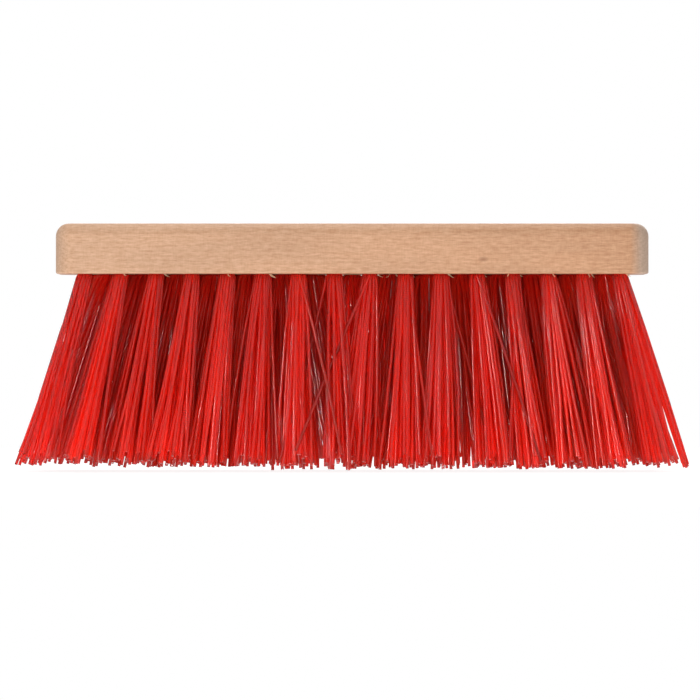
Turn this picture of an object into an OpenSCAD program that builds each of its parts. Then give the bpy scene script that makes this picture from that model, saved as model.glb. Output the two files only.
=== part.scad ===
// Push broom head: a beech block with a slanted handle socket and four staggered rows of tufts.
// Each tuft is a bundle of stiff plastic filaments, folded over a flat wire anchor in its own hole.
// The part stands on its bristle tips: z = 0 is the floor, x runs along the block, -y is the front.

/* [Block] */
// Length of the wooden block
block_l = 300; // [260:5:360]
// Width of the block, from front to back
block_w = 62; // [58:1:80]
// Thickness of the block
block_h = 25.5; // [20:0.5:36]
// Radius of the block's four corners, seen from above
corner_r = 11; // [8:0.5:16]
// Radius of the rounding along the top edge
top_round = 6.5; // [2:0.5:7.5]
// Radius of the small easing along the bottom edge
edge_ease = 1; // [0.4:0.1:2]

/* [Tuft holes] */
// Tufts in the front row; the rows behind it have one less
tufts_per_row = 16; // [12:1:16]
// From the end of the block to the first hole of the front row
end_margin = 15; // [13:0.5:20]
// From the long side of the block to the outer row of holes
side_margin = 8.5; // [8:0.5:11]
// Diameter of a tuft hole
hole_d = 7.5; // [7:0.1:8.5]
// Depth of a tuft hole along its slant
hole_depth = 12.5; // [9:0.5:15]

/* [Bristles] */
// From the underside of the block to the floor
bristle_h = 100; // [70:5:140]
// Outward lean of the end tufts, in degrees
end_lean = 16; // [0:1:18]
// Outward lean of the outer rows, in degrees
side_lean = 8; // [0:1:12]
// Strands in a tuft, each standing for two or three filaments
strands_per_tuft = 8; // [5:1:8]
// Side of a strand's square section where it leaves the root
strand_root_w = 1.4; // [1:0.1:1.5]
// Side of a strand's square section at the floor
strand_tip_w = 2; // [1:0.1:2.2]
// Radius of a tuft's fan at the floor, to the middle of its outer strands
fan_r = 9; // [5:0.5:10]
// How far the shortest strands stop above the floor
tip_spread = 5; // [0:0.5:12]
// Depth of the level cut across the longest tips
tip_trim = 0.5; // [0.2:0.1:1]
// Bunched length of a tuft below the block, before it fans out
root_stub = 2; // [1.5:0.5:5]
// Plastic round the strands at the lower end of the bunched root
root_wall = 0.3; // [0.2:0.05:0.4]
// Gap between a tuft and the wall of its hole
tuft_fit = 0.1; // [0.05:0.05:0.3]

/* [Wire anchors] */
// Length of an anchor, which bites into the wood on both sides of its hole
anchor_l = 9.5; // [9:0.1:11]
// Width of the flat wire, along the hole
anchor_w = 2; // [1:0.1:3]
// Thickness of the flat wire
anchor_t = 0.5; // [0.3:0.1:1]
// Thickness of the filament fold between the anchor and the bottom of the hole
fold_t = 2; // [1.5:0.1:3]
// Gap round an anchor
anchor_fit = 0.1; // [0.05:0.05:0.2]

/* [Handle socket] */
// Diameter of the handle that the socket takes
handle_d = 23.6; // [20:0.1:26]
// Gap between the handle and the wall of the socket
handle_fit = 0.2; // [0.1:0.05:0.4]
// Slant of the socket from upright, so that the handle leans to the back, in degrees
socket_tilt = 25; // [15:1:30]

/* [Hidden] */
$fn = 64;
row_names = ["front", "second", "third", "back"];
// Each row's shift along the block as a share of the pitch, so that no gap runs right through
row_shift = [0, 5 / 8, 3 / 8, 1 / 2];
last_row = len(row_names) - 1;
end_x = block_l / 2 - end_margin;
outer_y = block_w / 2 - side_margin;
tuft_pitch = 2 * end_x / (tufts_per_row - 1);
row_pitch = 2 * outer_y / last_row;
plug_d = hole_d - 2 * tuft_fit;
socket_d = handle_d + 2 * handle_fit;
// The socket crosses the block's middle line level with the bottoms of the tuft holes
socket_mid = [0, 0, bristle_h + hole_depth];
socket_l = block_h / cos(socket_tilt) + socket_d * tan(socket_tilt);
// Strands leave the bunched root at this height, and start a little above it
fan_h = bristle_h - root_stub;
strand_top = fan_h + 0.75 * root_stub;
root_r = plug_d / 2 - strand_root_w / sqrt(2) - root_wall;
sides = 4;
seeds_per_pitch = 8;
seeds_per_row = 1000;

beech = [0.84, 0.66, 0.53];
red_plastic = [0.78, 0.12, 0.10];
steel_wire = [0.72, 0.73, 0.75];

// Lean of a tuft rooted at x or y
function lean_x(x) = end_lean * x / end_x;
function lean_y(y) = side_lean * y / outer_y;

// How far the tips of a leaning tuft rise, because all filaments are cut to one length
function end_rise(x) = bristle_h * (1 - cos(lean_x(x)));

// Point on a tuft's centre line at height z
function centre_at(x, y, z) =
    [x + (bristle_h - z) * tan(lean_x(x)), y + (bristle_h - z) * tan(lean_y(y)), z];

// True where a row has a tuft: the inner rows make room for the socket, one pitch to each side
function has_tuft(x, row) = row == 0 || row == last_row || abs(x) > tuft_pitch;

// Roots of one row as [x, y, seed]; a tuft and its mirror image share a seed
function row_roots(row) =
    let (shift = row_shift[row], y = row * row_pitch - outer_y)
    [for (i = [0 : tufts_per_row - 1 - ceil(shift)])
        let (x = (i + shift) * tuft_pitch - end_x)
        if (has_tuft(x, row))
            [x, y, round(seeds_per_pitch * abs(x) / tuft_pitch) + seeds_per_row * abs(2 * row - last_row)]];

function two_digits(n) = str(n < 10 ? "0" : "", n);

// All tufts as [name, x, y, seed]
tufts = [for (row = [0 : last_row])
    let (roots = row_roots(row))
    for (i = [0 : len(roots) - 1])
        concat([str(row_names[row], "_tuft_", two_digits(i + 1))], roots[i])];

// Places children on a tuft's root, with z up along its hole
module at_root(x, y) {
    translate([x, y, bristle_h])
        rotate([atan(tan(lean_y(y)) * cos(lean_x(x))), -lean_x(x), 0])
            children();
}

// Half section of the block's edge: u outwards from the corner's centre, v up
module edge_section() {
    translate([0, edge_ease])
        square([corner_r, block_h - top_round - edge_ease]);
    square([corner_r - edge_ease, block_h - top_round]);
    square([corner_r - top_round, block_h]);
    translate([corner_r - top_round, block_h - top_round])
        quarter_disc(top_round);
    translate([corner_r - edge_ease, edge_ease])
        mirror([0, 1])
            quarter_disc(edge_ease);
}

module quarter_disc(r) {
    intersection() {
        circle(r);
        square(r);
    }
}

module rounded_block() {
    straight_l = block_l - 2 * corner_r;
    straight_w = block_w - 2 * corner_r;
    translate([-straight_l / 2, -straight_w / 2, 0])
        cube([straight_l, straight_w, block_h]);
    for (side = [0, 1])
        mirror([0, side, 0])
            translate([-straight_l / 2, straight_w / 2, 0])
                rotate([90, 0, 90])
                    linear_extrude(straight_l)
                        edge_section();
    for (end = [0, 1])
        mirror([end, 0, 0])
            translate([straight_l / 2, straight_w / 2, 0])
                rotate([90, 0, 0])
                    linear_extrude(straight_w)
                        edge_section();
    for (end = [0, 1], side = [0, 1])
        mirror([end, 0, 0])
            mirror([0, side, 0])
                translate([straight_l / 2, straight_w / 2, 0])
                    rotate_extrude(angle = 90)
                        edge_section();
}

module anchor_bar(gap) {
    size = [anchor_l, anchor_t, anchor_w] + 2 * gap * [1, 1, 1];
    translate([0, 0, hole_depth - fold_t - anchor_w / 2])
        cube(size, center = true);
}

module block() {
    color(beech)
        difference() {
            translate([0, 0, bristle_h])
                rounded_block();
            translate(socket_mid)
                rotate([-socket_tilt, 0, 0])
                    cylinder(d = socket_d, h = 2 * socket_l, center = true);
            for (t = tufts)
                at_root(t[1], t[2]) {
                    translate([0, 0, -root_stub])
                        cylinder(d = hole_d, h = hole_depth + root_stub);
                    anchor_bar(anchor_fit);
                }
        }
}

module anchors() {
    color(steel_wire)
        for (t = tufts)
            at_root(t[1], t[2])
                anchor_bar(0);
}

// Value at height z of a size that changes evenly from the tips to the root
function along(tip, root, z) = tip + (root - tip) * z / fan_h;

// Straight square strand of the tuft at x, y, on the side that out points to
module strand(x, y, out, turn, tip_z) {
    points = [for (z = [strand_top, tip_z], j = [0 : sides - 1])
        let (
            a = turn + j * 360 / sides,
            r = along(strand_tip_w, strand_root_w, z) / sqrt(2)
        )
        centre_at(x, y, z) + along(fan_r, root_r, z) * out + r * [cos(a), sin(a), 0]];
    walls = [for (j = [0 : sides - 1])
        let (k = (j + 1) % sides)
        each [[j, k, sides + k], [j, sides + k, sides + j]]];
    ends = [for (j = [1 : sides - 2])
        each [[0, j + 1, j], [sides, sides + j, sides + j + 1]]];
    polyhedron(points, concat(walls, ends));
}

// Folded root in its hole, and the strands that fan out below the block
module tuft(x, y, seed) {
    wide = x < 0 ? -1 : 1;
    deep = y < 0 ? -1 : 1;
    ring_count = strands_per_tuft - 1;
    step = 360 / ring_count;
    draws = rands(0, 1, strands_per_tuft + 1, seed);
    start = (draws[strands_per_tuft] - 0.5) * step / 2;
    color(red_plastic) {
        at_root(x, y)
            difference() {
                translate([0, 0, -root_stub])
                    cylinder(d = plug_d, h = hole_depth + root_stub);
                anchor_bar(anchor_fit);
            }
        for (k = [0 : strands_per_tuft - 1]) {
            a = start + k * step;
            out = k == ring_count ? [0, 0, 0] : [wide * cos(a), deep * sin(a), 0];
            tip_z = max(0, end_rise(x) + tip_spread * pow(draws[k], 2) - tip_trim);
            strand(x, y, out, wide * deep * a, tip_z);
        }
    }
}

block();
anchors();
for (t = tufts)
    tuft(t[1], t[2], t[3]);
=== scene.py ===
import math
import random

import bmesh
import bpy
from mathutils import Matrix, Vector


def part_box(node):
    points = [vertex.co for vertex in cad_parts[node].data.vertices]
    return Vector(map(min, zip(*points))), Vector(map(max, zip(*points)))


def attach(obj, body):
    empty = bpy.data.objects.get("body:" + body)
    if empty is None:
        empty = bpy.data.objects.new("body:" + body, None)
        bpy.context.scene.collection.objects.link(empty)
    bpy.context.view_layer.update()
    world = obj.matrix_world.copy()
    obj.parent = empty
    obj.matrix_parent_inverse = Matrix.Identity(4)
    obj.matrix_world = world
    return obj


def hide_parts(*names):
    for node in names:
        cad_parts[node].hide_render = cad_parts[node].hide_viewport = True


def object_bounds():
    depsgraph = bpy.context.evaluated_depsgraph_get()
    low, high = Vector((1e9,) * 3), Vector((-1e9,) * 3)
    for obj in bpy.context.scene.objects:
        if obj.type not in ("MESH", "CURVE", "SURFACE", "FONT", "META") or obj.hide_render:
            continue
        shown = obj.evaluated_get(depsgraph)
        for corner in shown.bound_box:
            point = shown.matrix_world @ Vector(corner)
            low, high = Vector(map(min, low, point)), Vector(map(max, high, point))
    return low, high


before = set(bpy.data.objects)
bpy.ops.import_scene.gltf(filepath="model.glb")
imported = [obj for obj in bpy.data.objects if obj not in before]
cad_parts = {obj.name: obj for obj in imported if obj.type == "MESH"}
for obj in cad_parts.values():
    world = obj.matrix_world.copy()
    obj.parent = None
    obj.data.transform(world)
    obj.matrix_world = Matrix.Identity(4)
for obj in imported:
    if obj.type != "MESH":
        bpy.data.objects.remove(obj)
cad_low, cad_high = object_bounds()

# Block: one flat board of beech, planed, rounded over along its top edge and eased along the bottom.
# A slanted socket for the handle goes right through it, and each tuft has its own slanted blind hole.
# The walls of the holes and the socket are left as the drill cut them, rough and a little darker.
corner_r = 0.011
top_round = 0.0065
bottom_ease = 0.001
block_low, block_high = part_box("block")
block_size = block_high - block_low
block_middle = (block_low + block_high) / 2

bpy.ops.object.select_all(action="DESELECT")
bpy.ops.mesh.primitive_cube_add(size=1, location=block_middle, scale=block_size)
bpy.ops.object.transform_apply(location=True, rotation=True, scale=True)
block = bpy.context.object
block.name = "beech_block"


def round_edges(piece, is_wanted, radius, segments):
    """Rounds over the edges of a piece that is_wanted picks by their two ends."""
    bpy.ops.object.mode_set(mode="EDIT")
    bpy.ops.mesh.select_mode(type="EDGE")
    bpy.ops.mesh.select_all(action="DESELECT")
    shell = bmesh.from_edit_mesh(piece.data)
    for edge in shell.edges:
        edge.select_set(is_wanted(edge.verts[0].co, edge.verts[1].co))
    bmesh.update_edit_mesh(piece.data)
    bpy.ops.mesh.bevel(offset=radius, segments=segments, affect="EDGES")
    bpy.ops.object.mode_set(mode="OBJECT")


a_hair = 1e-5
round_edges(block, lambda a, b: abs(a.z - b.z) > block_size.z / 2, corner_r, segments=12)
round_edges(block, lambda a, b: min(a.z, b.z) > block_high.z - a_hair, top_round, segments=8)
round_edges(block, lambda a, b: max(a.z, b.z) < block_low.z + a_hair, bottom_ease, segments=3)

# The holes stand in four rows, and each row is shifted along the block by a share of the pitch.
# The two inner rows leave out the tufts within one pitch of the middle, to make room for the socket.
tufts_in_front = 16
end_margin = 0.015
side_margin = 0.0085
row_shifts = {"front": 0, "second": 5 / 8, "third": 3 / 8, "back": 1 / 2}
inner_rows = ("second", "third")
end_lean = math.radians(16)
side_lean = math.radians(8)
hole_d = 0.0075
hole_depth = 0.0125
end_x = block_size.x / 2 - end_margin
outer_y = block_size.y / 2 - side_margin
tuft_pitch = 2 * end_x / (tufts_in_front - 1)
row_pitch = 2 * outer_y / (len(row_shifts) - 1)

tuft_roots = {}
for row, (row_name, shift) in enumerate(row_shifts.items()):
    places = [(i + shift) * tuft_pitch - end_x for i in range(tufts_in_front - math.ceil(shift))]
    if row_name in inner_rows:
        places = [x for x in places if abs(x) > tuft_pitch]
    for number, x in enumerate(places, 1):
        tuft_roots[f"{row_name}_tuft_{number:02d}"] = Vector((x, row * row_pitch - outer_y, block_low.z))


def hole_axis(root):
    """Direction of a tuft hole, from its mouth up into the block."""
    return Vector((
        -math.tan(end_lean * root.x / end_x),
        -math.tan(side_lean * root.y / outer_y),
        1,
    )).normalized()


def add_drill(middle, axis, diameter, length, sides):
    """Adds a cylinder that stands for a drill's cut."""
    bpy.ops.mesh.primitive_cylinder_add(
        vertices=sides,
        radius=diameter / 2,
        depth=length,
        location=middle,
        rotation=axis.to_track_quat("Z", "Y").to_euler(),
    )
    return bpy.context.object


socket_d = 0.024
socket_tilt = math.radians(25)
socket_axis = Vector((0, math.sin(socket_tilt), math.cos(socket_tilt)))
socket_middle = Vector((0, 0, block_low.z + hole_depth))
socket_cut_l = 3 * block_size.z
overcut = 0.002

bpy.ops.object.select_all(action="DESELECT")
drills = [add_drill(socket_middle, socket_axis, socket_d, socket_cut_l, sides=64)]
for root in tuft_roots.values():
    axis = hole_axis(root)
    middle = root + axis * (hole_depth - overcut) / 2
    drills.append(add_drill(middle, axis, hole_d, hole_depth + overcut, sides=24))
for drill in drills:
    drill.select_set(True)
bpy.ops.object.join()
cutter = bpy.context.object


def colour(red, green, blue):
    """Linear colour of a surface that reads red, green, blue from 0 to 255 on a screen."""
    shares = [channel / 255 for channel in (red, green, blue)]
    return [s / 12.92 if s <= 0.04045 else ((s + 0.055) / 1.055) ** 2.4 for s in shares] + [1]


def add_node(tree, kind, inputs, **options):
    """Adds a shader node with its options, and fills its inputs with values or with links."""
    node = tree.nodes.new(kind)
    for option, value in options.items():
        setattr(node, option, value)
    for socket, value in inputs.items():
        if isinstance(value, bpy.types.NodeSocket):
            tree.links.new(value, node.inputs[socket])
        else:
            node.inputs[socket].default_value = value
    return node


def calculate(tree, operation, *values):
    """Puts values through a Math node."""
    return add_node(tree, "ShaderNodeMath", dict(enumerate(values)), operation=operation).outputs[0]


def between(tree, value, low, high, first=0.0, last=1.0):
    """Rescales a value that runs from low to high so that it runs from first to last."""
    limits = {"Value": value, "From Min": low, "From Max": high, "To Min": first, "To Max": last}
    return add_node(tree, "ShaderNodeMapRange", limits).outputs[0]


def calculate_places(tree, operation, *values):
    """Puts places through a Vector Math node; gives its outputs, a place and then a number."""
    return add_node(tree, "ShaderNodeVectorMath", dict(enumerate(values)), operation=operation).outputs


def mix_colours(tree, share, first, second, blend="MIX"):
    """Mixes a share of the second colour into the first."""
    # A Mix node has its two colours at inputs 6 and 7, and the mixed one at output 2
    inputs = {0: share, 6: first, 7: second}
    return add_node(tree, "ShaderNodeMix", inputs, data_type="RGBA", blend_type=blend).outputs[2]


def stretched_noise(tree, place, scale, detail):
    """Noise with its own scale along each axis, in cells per metre."""
    cells = add_node(tree, "ShaderNodeMapping", {"Vector": place, "Scale": scale}).outputs[0]
    noise = {"Vector": cells, "Scale": 1, "Detail": detail, "Roughness": 0.55}
    return add_node(tree, "ShaderNodeTexNoise", noise).outputs[0]


def new_material(name):
    """A material with a bare Principled shader; gives its node tree, its shader and the material."""
    material = bpy.data.materials.new(name)
    material.use_nodes = True
    tree = material.node_tree
    return tree, tree.nodes["Principled BSDF"], material


def object_place(tree):
    """The place of a point on the piece, in metres."""
    return tree.nodes.new("ShaderNodeTexCoord").outputs["Object"]


# Beech runs along x: growth rings about a pith below the board, long fibres, rays that cross them,
# and short dark flecks.
grain = bpy.data.node_groups.new("beech_grain", "ShaderNodeTree")
for name in ("Early Wood", "Late Wood", "Fleck"):
    grain.interface.new_socket(name, in_out="INPUT", socket_type="NodeSocketColor")
grain.interface.new_socket("Colour", in_out="OUTPUT", socket_type="NodeSocketColor")
grain.interface.new_socket("Height", in_out="OUTPUT", socket_type="NodeSocketFloat")
woods = grain.nodes.new("NodeGroupInput").outputs
place = object_place(grain)
ring_pitch = 0.0021
pith = (0, 0.035, 0.02)
trunk_taper = 0.05
ring_wander = 0.007
ring_share = 0.2
ray_share = 0.35
fleck_share = 0.35
fleck_depth = 0.5
from_pith = calculate_places(grain, "SUBTRACT", place, pith)[0]
across = calculate_places(grain, "MULTIPLY", from_pith, (trunk_taper, 1, 1))[0]
radius = calculate_places(grain, "LENGTH", across)[1]
wander = stretched_noise(grain, place, (12, 60, 60), 3)
waved_radius = calculate(grain, "MULTIPLY_ADD", wander, ring_wander, radius)
turns = calculate(grain, "MULTIPLY", waved_radius, 2 * math.pi / ring_pitch)
rings = between(grain, calculate(grain, "SINE", turns), -0.4, 1)
fibres = stretched_noise(grain, place, (200, 1100, 1100), 4)
flecks = between(grain, stretched_noise(grain, place, (330, 2100, 2100), 1), 0.58, 0.75)
rays = stretched_noise(grain, place, (1300, 260, 260), 2)
ringed = calculate(grain, "MULTIPLY_ADD", rings, ring_share, between(grain, fibres, 0.3, 0.7))
tone = calculate(grain, "MULTIPLY_ADD", between(grain, rays, 0.3, 0.7), ray_share, ringed)
wood = mix_colours(grain, between(grain, tone, 0.25, 1.4), woods["Early Wood"], woods["Late Wood"])
flecked = mix_colours(grain, calculate(grain, "MULTIPLY", flecks, fleck_share), wood, woods["Fleck"])
height = calculate(grain, "SUBTRACT", fibres, calculate(grain, "MULTIPLY", flecks, fleck_depth))
add_node(grain, "NodeGroupOutput", {"Colour": flecked, "Height": height})


def place_grain(tree, early, late, fleck):
    """Places the beech grain in a material, with that material's own colours."""
    inputs = {"Early Wood": early, "Late Wood": late, "Fleck": fleck}
    return add_node(tree, "ShaderNodeGroup", inputs, node_tree=grain).outputs


def add_bump(tree, shader, height, depth, strength):
    """Raises a shader's surface by a height pattern; depth is in metres."""
    bump = {"Height": height, "Distance": depth, "Strength": strength}
    tree.links.new(add_node(tree, "ShaderNodeBump", bump).outputs[0], shader.inputs["Normal"])


tree, shader, planed_beech = new_material("planed_beech")
place = object_place(tree)
along_x = add_node(tree, "ShaderNodeSeparateXYZ", {0: place}).outputs[0]
to_the_right = between(tree, along_x, block_low.x, block_high.x)
early = mix_colours(tree, to_the_right, colour(231, 189, 156), colour(223, 174, 136))
late = mix_colours(tree, to_the_right, colour(206, 157, 121), colour(195, 138, 99))
planed = place_grain(tree, early, late, colour(176, 124, 90))
clouds = between(tree, stretched_noise(tree, place, (14, 60, 60), 2), 0.35, 0.65, 0.94, 1.05)
clouded = mix_colours(tree, 1.0, planed["Colour"], clouds, "MULTIPLY")
# A small knot shows low on the front, right of the middle
knot_place = (0.0662, block_low.y, block_low.z + 0.0073)
knot_reach = (0.0026, 0.004, 0.0014)
from_knot = calculate_places(tree, "SUBTRACT", place, knot_place)[0]
in_knots = calculate_places(tree, "DIVIDE", from_knot, knot_reach)[0]
knot = between(tree, calculate_places(tree, "LENGTH", in_knots)[1], 0.2, 1.2, 0.6, 0.0)
knotted = mix_colours(tree, knot, clouded, colour(150, 98, 68))
# The end grain is a little greyer at the left end. The right end is much greyer: end grain with painted
# shade and a painted grey reflection on it
left_end = between(tree, along_x, block_low.x + 0.007, block_low.x + 0.001, 0, 0.3)
right_end_grain_and_painted_shade = between(tree, along_x, block_high.x - 0.0095, block_high.x - 0.004, 0, 0.85)
greyed = place_grain(tree, colour(213, 188, 168), colour(193, 167, 148), colour(156, 130, 111))
end_grain_and_painted_shade = mix_colours(tree, calculate(tree, "ADD", left_end, right_end_grain_and_painted_shade), knotted, greyed["Colour"])
tree.links.new(end_grain_and_painted_shade, shader.inputs["Base Color"])
tree.links.new(between(tree, planed["Height"], 0, 1, 0.68, 0.5), shader.inputs["Roughness"])
shader.inputs["Specular IOR Level"].default_value = 0.3
add_bump(tree, shader, planed["Height"], 0.0002, 0.35)

tree, shader, drilled_beech = new_material("drilled_beech")
drilled = place_grain(tree, colour(206, 160, 124), colour(176, 128, 94), colour(140, 96, 66))
tree.links.new(drilled["Colour"], shader.inputs["Base Color"])
shader.inputs["Roughness"].default_value = 0.85
shader.inputs["Specular IOR Level"].default_value = 0.2
add_bump(tree, shader, drilled["Height"], 0.0005, 0.6)

block.data.materials.append(planed_beech)
cutter.data.materials.append(drilled_beech)


def apply_modifier(piece, kind, **options):
    """Gives a piece one modifier and applies it."""
    bpy.ops.object.select_all(action="DESELECT")
    piece.select_set(True)
    bpy.context.view_layer.objects.active = piece
    modifier = piece.modifiers.new(kind.lower(), kind)
    for option, value in options.items():
        setattr(modifier, option, value)
    bpy.ops.object.modifier_apply(modifier=modifier.name)


drilling = {"operation": "DIFFERENCE", "solver": "EXACT", "material_mode": "TRANSFER"}
apply_modifier(block, "BOOLEAN", object=cutter, **drilling)
bpy.data.objects.remove(cutter)
bpy.ops.object.shade_smooth_by_angle(angle=math.radians(35))
apply_modifier(block, "WEIGHTED_NORMAL", keep_sharp=True)
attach(block, "root")
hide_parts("block")

# Wire anchors: one short piece of flat bright steel wire for each tuft, driven in across its hole.
# They sit deep in the holes under the folds of the filaments, so their solids stay as they are.
tree, shader, bright_wire = new_material("bright_wire")
drawn_lines = stretched_noise(tree, object_place(tree), (200, 4000, 4000), 2)
tree.links.new(between(tree, drawn_lines, 0.3, 0.7, 0.25, 0.45), shader.inputs["Roughness"])
wire_tone = mix_colours(tree, drawn_lines, colour(205, 207, 210), colour(172, 175, 180))
tree.links.new(wire_tone, shader.inputs["Base Color"])
shader.inputs["Metallic"].default_value = 1
wire_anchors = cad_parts["anchors"]
wire_anchors.data.materials.clear()
wire_anchors.data.materials.append(bright_wire)

# Tufts: bundles of stiff red plastic filaments, each folded in half over its anchor and pressed into
# its hole, so that 24 ends stand out. They keep together near the block, splay towards the tips,
# and were cut to one length by a blade that leaves them a little ragged.
filament_d = 0.0016
ring_counts = (1, 9, 14)
ring_radii = (0, 0.0019, 0.00294)
bristle_l = block_low.z
front_fan = (1.2, 3.0)
rear_fan = (1.9, 4.4)
# A leaning tuft's tips stand higher; the last trim kept these shares of that rise towards the two ends
left_rise_kept = 0.7
right_rise_kept = 0.25
uneven = 0.003
ragged = 0.0075
ragged_power = 1.5
tuft_sway = math.radians(1.6)
filament_sway = math.radians(1.3)
stray_sway = math.radians(5)
stray_share = 0.07
bow = 0.0009
root_depth = 0.75 * hole_depth
tip_gap = filament_d / 4
# Where a filament's line has its points below the block, as shares of its length
bend_shares = (0.02, 0.3, 0.65, 1)
# Leans along the block that the front tufts show, from left to right, in degrees
front_leans = (-14, -11, -8, -7, -6, -4, 0, 1.2, -4, -1, 0, 5, 6, 7.5, 9, 13)
# Front tufts with one filament that stands out across its neighbours, and its lean
stray_leans = {"front_tuft_07": 11, "front_tuft_09": -20}
rear_growth = 1.3
# The inner tufts beside the socket lean in under it, so that the broom has no gap there
socket_closing = math.radians(9)
closing_reach = 2 * tuft_pitch
first_seed = 807


def tuft_lean(name, root, chance):
    """Leans of a tuft along and across the block, as the slopes of its middle line."""
    row_name, number = name.split("_tuft_")
    share = root.x / end_x
    if row_name == "front":
        lean = math.radians(front_leans[int(number) - 1])
    else:
        lean = end_lean * math.copysign(abs(share) ** rear_growth, share) + chance.gauss(0, tuft_sway)
    if row_name in inner_rows:
        nearness = max(0, 1 - (abs(root.x) - tuft_pitch) / closing_reach)
        lean -= math.copysign(socket_closing * nearness, root.x)
    lean_y = side_lean * root.y / outer_y + chance.gauss(0, tuft_sway / 2)
    return Vector((math.tan(lean), math.tan(lean_y), 0))


def filament_line(root, slope, offset, fan, length, chance):
    """Points along one filament, from inside its hole to its tip."""
    flare, splay = fan
    is_stray = chance.random() < stray_share
    sway = stray_sway if is_stray else filament_sway
    own_slope = Vector((math.tan(chance.gauss(0, sway)), math.tan(chance.gauss(0, sway)), 0))
    bulge = Vector((chance.gauss(0, bow), chance.gauss(0, bow), 0))
    length -= ragged * chance.random() ** ragged_power
    rise = length * (1 - 1 / math.sqrt(1 + slope.length_squared))
    drop = length - rise * (right_rise_kept if slope.x > 0 else left_rise_kept)
    points = [root + offset + root_depth * hole_axis(root), root + offset]
    for share in bend_shares:
        sideways = share * bristle_l * (slope + own_slope) + bulge * math.sin(math.pi * share)
        spread = offset * (flare + (splay - flare) * share)
        points.append(root + spread + sideways - Vector((0, 0, share * drop)))
    return points


def keep_inside(points):
    """Leans a filament back where its tip would leave the room that the part takes up."""
    root_z, tip = points[1].z, points[-1].copy()
    for axis in range(2):
        room = min(max(tip[axis], cad_low[axis] + filament_d), cad_high[axis] - filament_d)
        for point in points[2:]:
            point[axis] += (room - tip[axis]) * (root_z - point.z) / (root_z - tip.z)
    points[-1].z = max(tip.z, cad_low.z + tip_gap)
    return points


def add_filaments(name, lines, thickness, taper):
    """One piece with a round, flat-cut filament along each line; taper gives its share of the thickness."""
    bpy.ops.object.select_all(action="DESELECT")
    bpy.ops.curve.primitive_nurbs_path_add()
    piece = bpy.context.object
    piece.name = name
    curve = piece.data
    curve.splines.clear()
    for line in lines:
        spline = curve.splines.new("POLY")
        spline.points.add(len(line) - 1)
        for point, place, share in zip(spline.points, line, taper):
            point.co = (*place, 1)
            point.radius = share
    curve.bevel_depth = thickness / 2
    curve.bevel_resolution = 2
    curve.use_fill_caps = True
    bpy.ops.object.convert(target="MESH")
    bpy.ops.object.shade_smooth_by_angle(angle=math.radians(60))
    return bpy.context.object


tree, shader, red_filament = new_material("red_filament")
own_tone = add_node(tree, "ShaderNodeAttribute", {}, attribute_name="filament_tone").outputs["Fac"]
skin = add_node(tree, "ShaderNodeAttribute", {}, attribute_name="filament_skin").outputs["Vector"]
along = add_node(tree, "ShaderNodeSeparateXYZ", {0: skin}).outputs[2]
# Painted light and shade: each filament's colour is darker near the block, where the bristles stand in
# shade, and paler towards the tips, where light gets into the plastic from all sides
painted_shade_near_block = mix_colours(tree, own_tone, colour(171, 16, 7), colour(183, 24, 10))
painted_light_at_tips = mix_colours(tree, own_tone, colour(201, 22, 10), colour(213, 32, 13))
red = mix_colours(tree, between(tree, along, 0, 1), painted_shade_near_block, painted_light_at_tips)
# Each filament takes its marks from its own place in the noise
own_start = calculate(tree, "MULTIPLY", own_tone, 100.0)
own_place = calculate_places(tree, "MULTIPLY_ADD", skin, (9, 9, 9), own_start)[0]
drawn_lines = stretched_noise(tree, own_place, (0.25, 0.25, 0.4), 3)
near_tip = between(tree, along, 0.8, 1, 0.1, 0.4)
scuffs = calculate(tree, "MULTIPLY", between(tree, drawn_lines, 0.5, 0.75), near_tip)
scuffed = mix_colours(tree, scuffs, red, colour(232, 96, 84))
tree.links.new(scuffed, shader.inputs["Base Color"])
tree.links.new(between(tree, drawn_lines, 0.3, 0.7, 0.05, 0.1), shader.inputs["Roughness"])
shader.inputs["Specular IOR Level"].default_value = 0.35
shader.inputs["Subsurface Weight"].default_value = 1
shader.subsurface_method = "BURLEY"
shader.inputs["Subsurface Radius"].default_value = (1, 0.5, 0.5)
shader.inputs["Subsurface Scale"].default_value = 0.016


def mark_filaments(piece, lines, chance):
    """Notes on each point which filament it is on, and where: round it as x and y, and along it as z."""
    tones = [chance.random() for line in lines]
    points_each = len(piece.data.vertices) // len(lines)
    end_caps = 2
    sides = points_each // (len(lines[0]) + end_caps)
    tone = piece.data.attributes.new("filament_tone", "FLOAT", "POINT")
    skin = piece.data.attributes.new("filament_skin", "FLOAT_VECTOR", "POINT")
    for i, point in enumerate(piece.data.vertices):
        root_z = lines[i // points_each][1].z
        tip_z = lines[i // points_each][-1].z
        turn = 2 * math.pi * (i % sides) / sides
        tone.data[i].value = tones[i // points_each]
        skin.data[i].vector = (math.cos(turn), math.sin(turn), (root_z - point.co.z) / (root_z - tip_z))


for seed, (name, root) in enumerate(tuft_roots.items(), first_seed):
    chance = random.Random(seed)
    slope = tuft_lean(name, root, chance)
    fan = front_fan if name.startswith("front") else rear_fan
    length = bristle_l - uneven * chance.random()
    turn = chance.uniform(0, 2 * math.pi)
    lines = []
    for count, ring_r in zip(ring_counts, ring_radii):
        for i in range(count):
            angle = turn + 2 * math.pi * i / count
            offset = ring_r * Vector((math.cos(angle), math.sin(angle), 0))
            lines.append(keep_inside(filament_line(root, slope, offset, fan, length, chance)))
    if name in stray_leans:
        stray_slope = Vector((math.tan(math.radians(stray_leans[name])), slope.y, 0))
        front_edge = Vector((0, -ring_radii[-1], 0))
        lines.append(keep_inside(filament_line(root, stray_slope, front_edge, fan, length, chance)))
    tuft = add_filaments(name.replace("tuft", "filaments"), lines, filament_d, [1] * len(lines[0]))
    mark_filaments(tuft, lines, chance)
    tuft.data.materials.append(red_filament)
    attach(tuft, "root")
    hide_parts(name)

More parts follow.
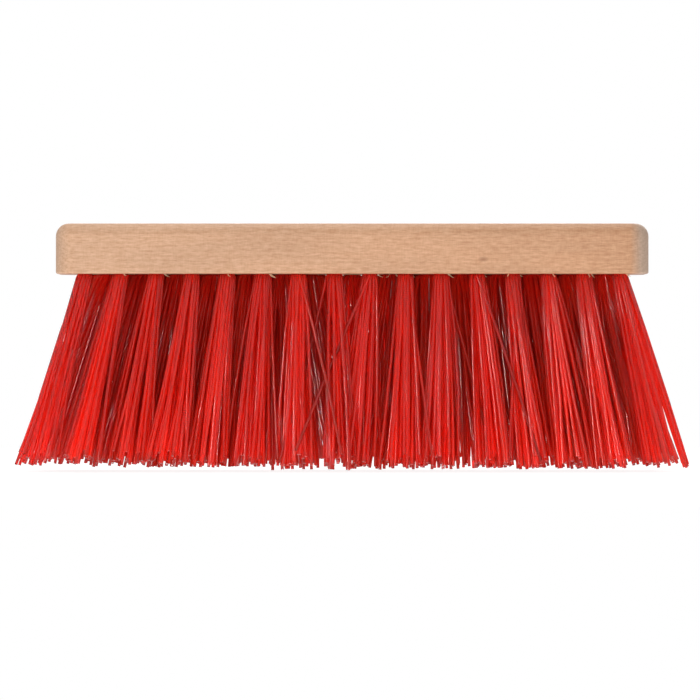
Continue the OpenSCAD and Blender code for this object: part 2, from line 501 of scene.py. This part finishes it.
# Burrs: splinters of beech that the drill has torn at the rims of the tuft holes.
# They hang from the underside of the block, bent down by the filaments that were pushed in past them.
burr_d = 0.0006
burr_taper = (1, 0.9, 0.6, 0.15)
burr_counts = (0, 1, 1, 2)
burr_lengths = (0.0012, 0.0032)
burr_sweeps = (0.5, 1.3)
burr_hook = 0.35
burr_shares = (-0.2, 0.3, 0.65, 1)
# Most burrs stand on the right of their hole; their angles are in radians from the block's length
burr_angle = -0.2
burr_angle_spread = 0.8
burr_chance = random.Random(2026)
burr_lines = []
for root in tuft_roots.values():
    for _ in range(burr_chance.choice(burr_counts)):
        angle = burr_chance.gauss(burr_angle, burr_angle_spread)
        outward = Vector((math.cos(angle), math.sin(angle), 0))
        sideways = Vector((-outward.y, outward.x, 0)) * burr_chance.uniform(-1, 1)
        start = root + outward * (hole_d + burr_d) / 2
        length = burr_chance.uniform(*burr_lengths)
        sweep = burr_chance.uniform(*burr_sweeps)
        steps = []
        for share in burr_shares:
            curl = outward * sweep * share + sideways * share ** 2
            steps.append(start + length * (curl - Vector((0, 0, share - burr_hook * share ** 2))))
        burr_lines.append(steps)
burrs = add_filaments("hole_burrs", burr_lines, burr_d, burr_taper)
tree, shader, torn_beech = new_material("torn_beech")
torn = place_grain(tree, colour(238, 206, 170), colour(216, 172, 130), colour(170, 120, 84))
tree.links.new(torn["Colour"], shader.inputs["Base Color"])
shader.inputs["Roughness"].default_value = 0.8
add_bump(tree, shader, torn["Height"], 0.0001, 0.5)
burrs.data.materials.append(torn_beech)
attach(burrs, "root")

# Camera: level and square on to the long face, from far enough away to flatten the depth.
# Its place and its lens put the block where the photo's frame has it.
camera_place = (-0.0011, -3.531, 0.0615)
bpy.ops.object.camera_add(location=camera_place, rotation=(math.radians(90), 0, 0))
camera = bpy.context.object
camera.data.sensor_width = 36
camera.data.lens = 356.7
bpy.context.scene.camera = camera


# Studio: a white floor that keeps a faint shadow, white surroundings, softboxes at the camera, behind
# and overhead, and a long strip light to the left, which draws thin bright lines along the filaments.
# The floor and the surroundings are white to whatever sees them directly.
def seen_directly(tree):
    """1 for a ray that looks, mirrors or passes straight at a surface, and 0 for one that lights it."""
    path = tree.nodes.new("ShaderNodeLightPath").outputs
    mirrored = calculate(tree, "MAXIMUM", path["Is Glossy Ray"], path["Is Transmission Ray"])
    return calculate(tree, "MAXIMUM", path["Is Camera Ray"], mirrored)


bpy.ops.object.select_all(action="DESELECT")
bpy.ops.mesh.primitive_plane_add(size=1.6, location=(0, 0, 0))
floor = bpy.context.object
floor.name = "studio_floor"
floor_paper = bpy.data.materials.new("floor_paper")
floor_paper.use_nodes = True
tree = floor_paper.node_tree
tree.nodes.clear()
paper = add_node(tree, "ShaderNodeBsdfDiffuse", {"Color": colour(225, 225, 225)}).outputs[0]
lit_table = add_node(tree, "ShaderNodeEmission", {"Strength": 0.52}).outputs[0]
lit_paper = add_node(tree, "ShaderNodeAddShader", {0: paper, 1: lit_table}).outputs[0]
shaded = add_node(tree, "ShaderNodeBsdfDiffuse", {"Color": colour(150, 150, 150)}).outputs[0]
glow = add_node(tree, "ShaderNodeEmission", {"Strength": 0.88}).outputs[0]
white = add_node(tree, "ShaderNodeAddShader", {0: shaded, 1: glow}).outputs[0]
finish = add_node(tree, "ShaderNodeMixShader", {0: seen_directly(tree), 1: lit_paper, 2: white}).outputs[0]
add_node(tree, "ShaderNodeOutputMaterial", {0: finish})
floor.data.materials.append(floor_paper)

world = bpy.data.worlds.new("studio_surroundings")
world.use_nodes = True
tree = world.node_tree
tree.nodes.clear()
light_given = 0.06
white_seen = 1.0
strength = between(tree, seen_directly(tree), 0, 1, light_given, white_seen)
sky = add_node(tree, "ShaderNodeBackground", {"Color": colour(255, 255, 255), "Strength": strength})
add_node(tree, "ShaderNodeOutputWorld", {0: sky.outputs[0]})
bpy.context.scene.world = world


def add_softbox(name, place, width, height, power):
    """A softbox aimed at the middle of the broom head."""
    bpy.ops.object.light_add(type="AREA", location=place)
    lamp = bpy.context.object
    lamp.name = name
    to_middle = (cad_low + cad_high) / 2 - Vector(place)
    lamp.rotation_euler = to_middle.to_track_quat("-Z", "Y").to_euler()
    lamp.data.shape = "RECTANGLE"
    lamp.data.size = width
    lamp.data.size_y = height
    lamp.data.energy = power
    lamp.visible_camera = False


add_softbox("front_softbox", (0, -3.4, 0.1), 0.5, 0.3, 41)
add_softbox("back_softbox", (0.4, 2.6, 0.9), 1.4, 1.0, 30)
add_softbox("top_softbox", (0, 0.35, 1.7), 1.0, 1.0, 19)
add_softbox("key_strip", (-2, -2, 0.79), 1.2, 0.2, 15)

bpy.context.scene.view_settings.view_transform = "Standard"
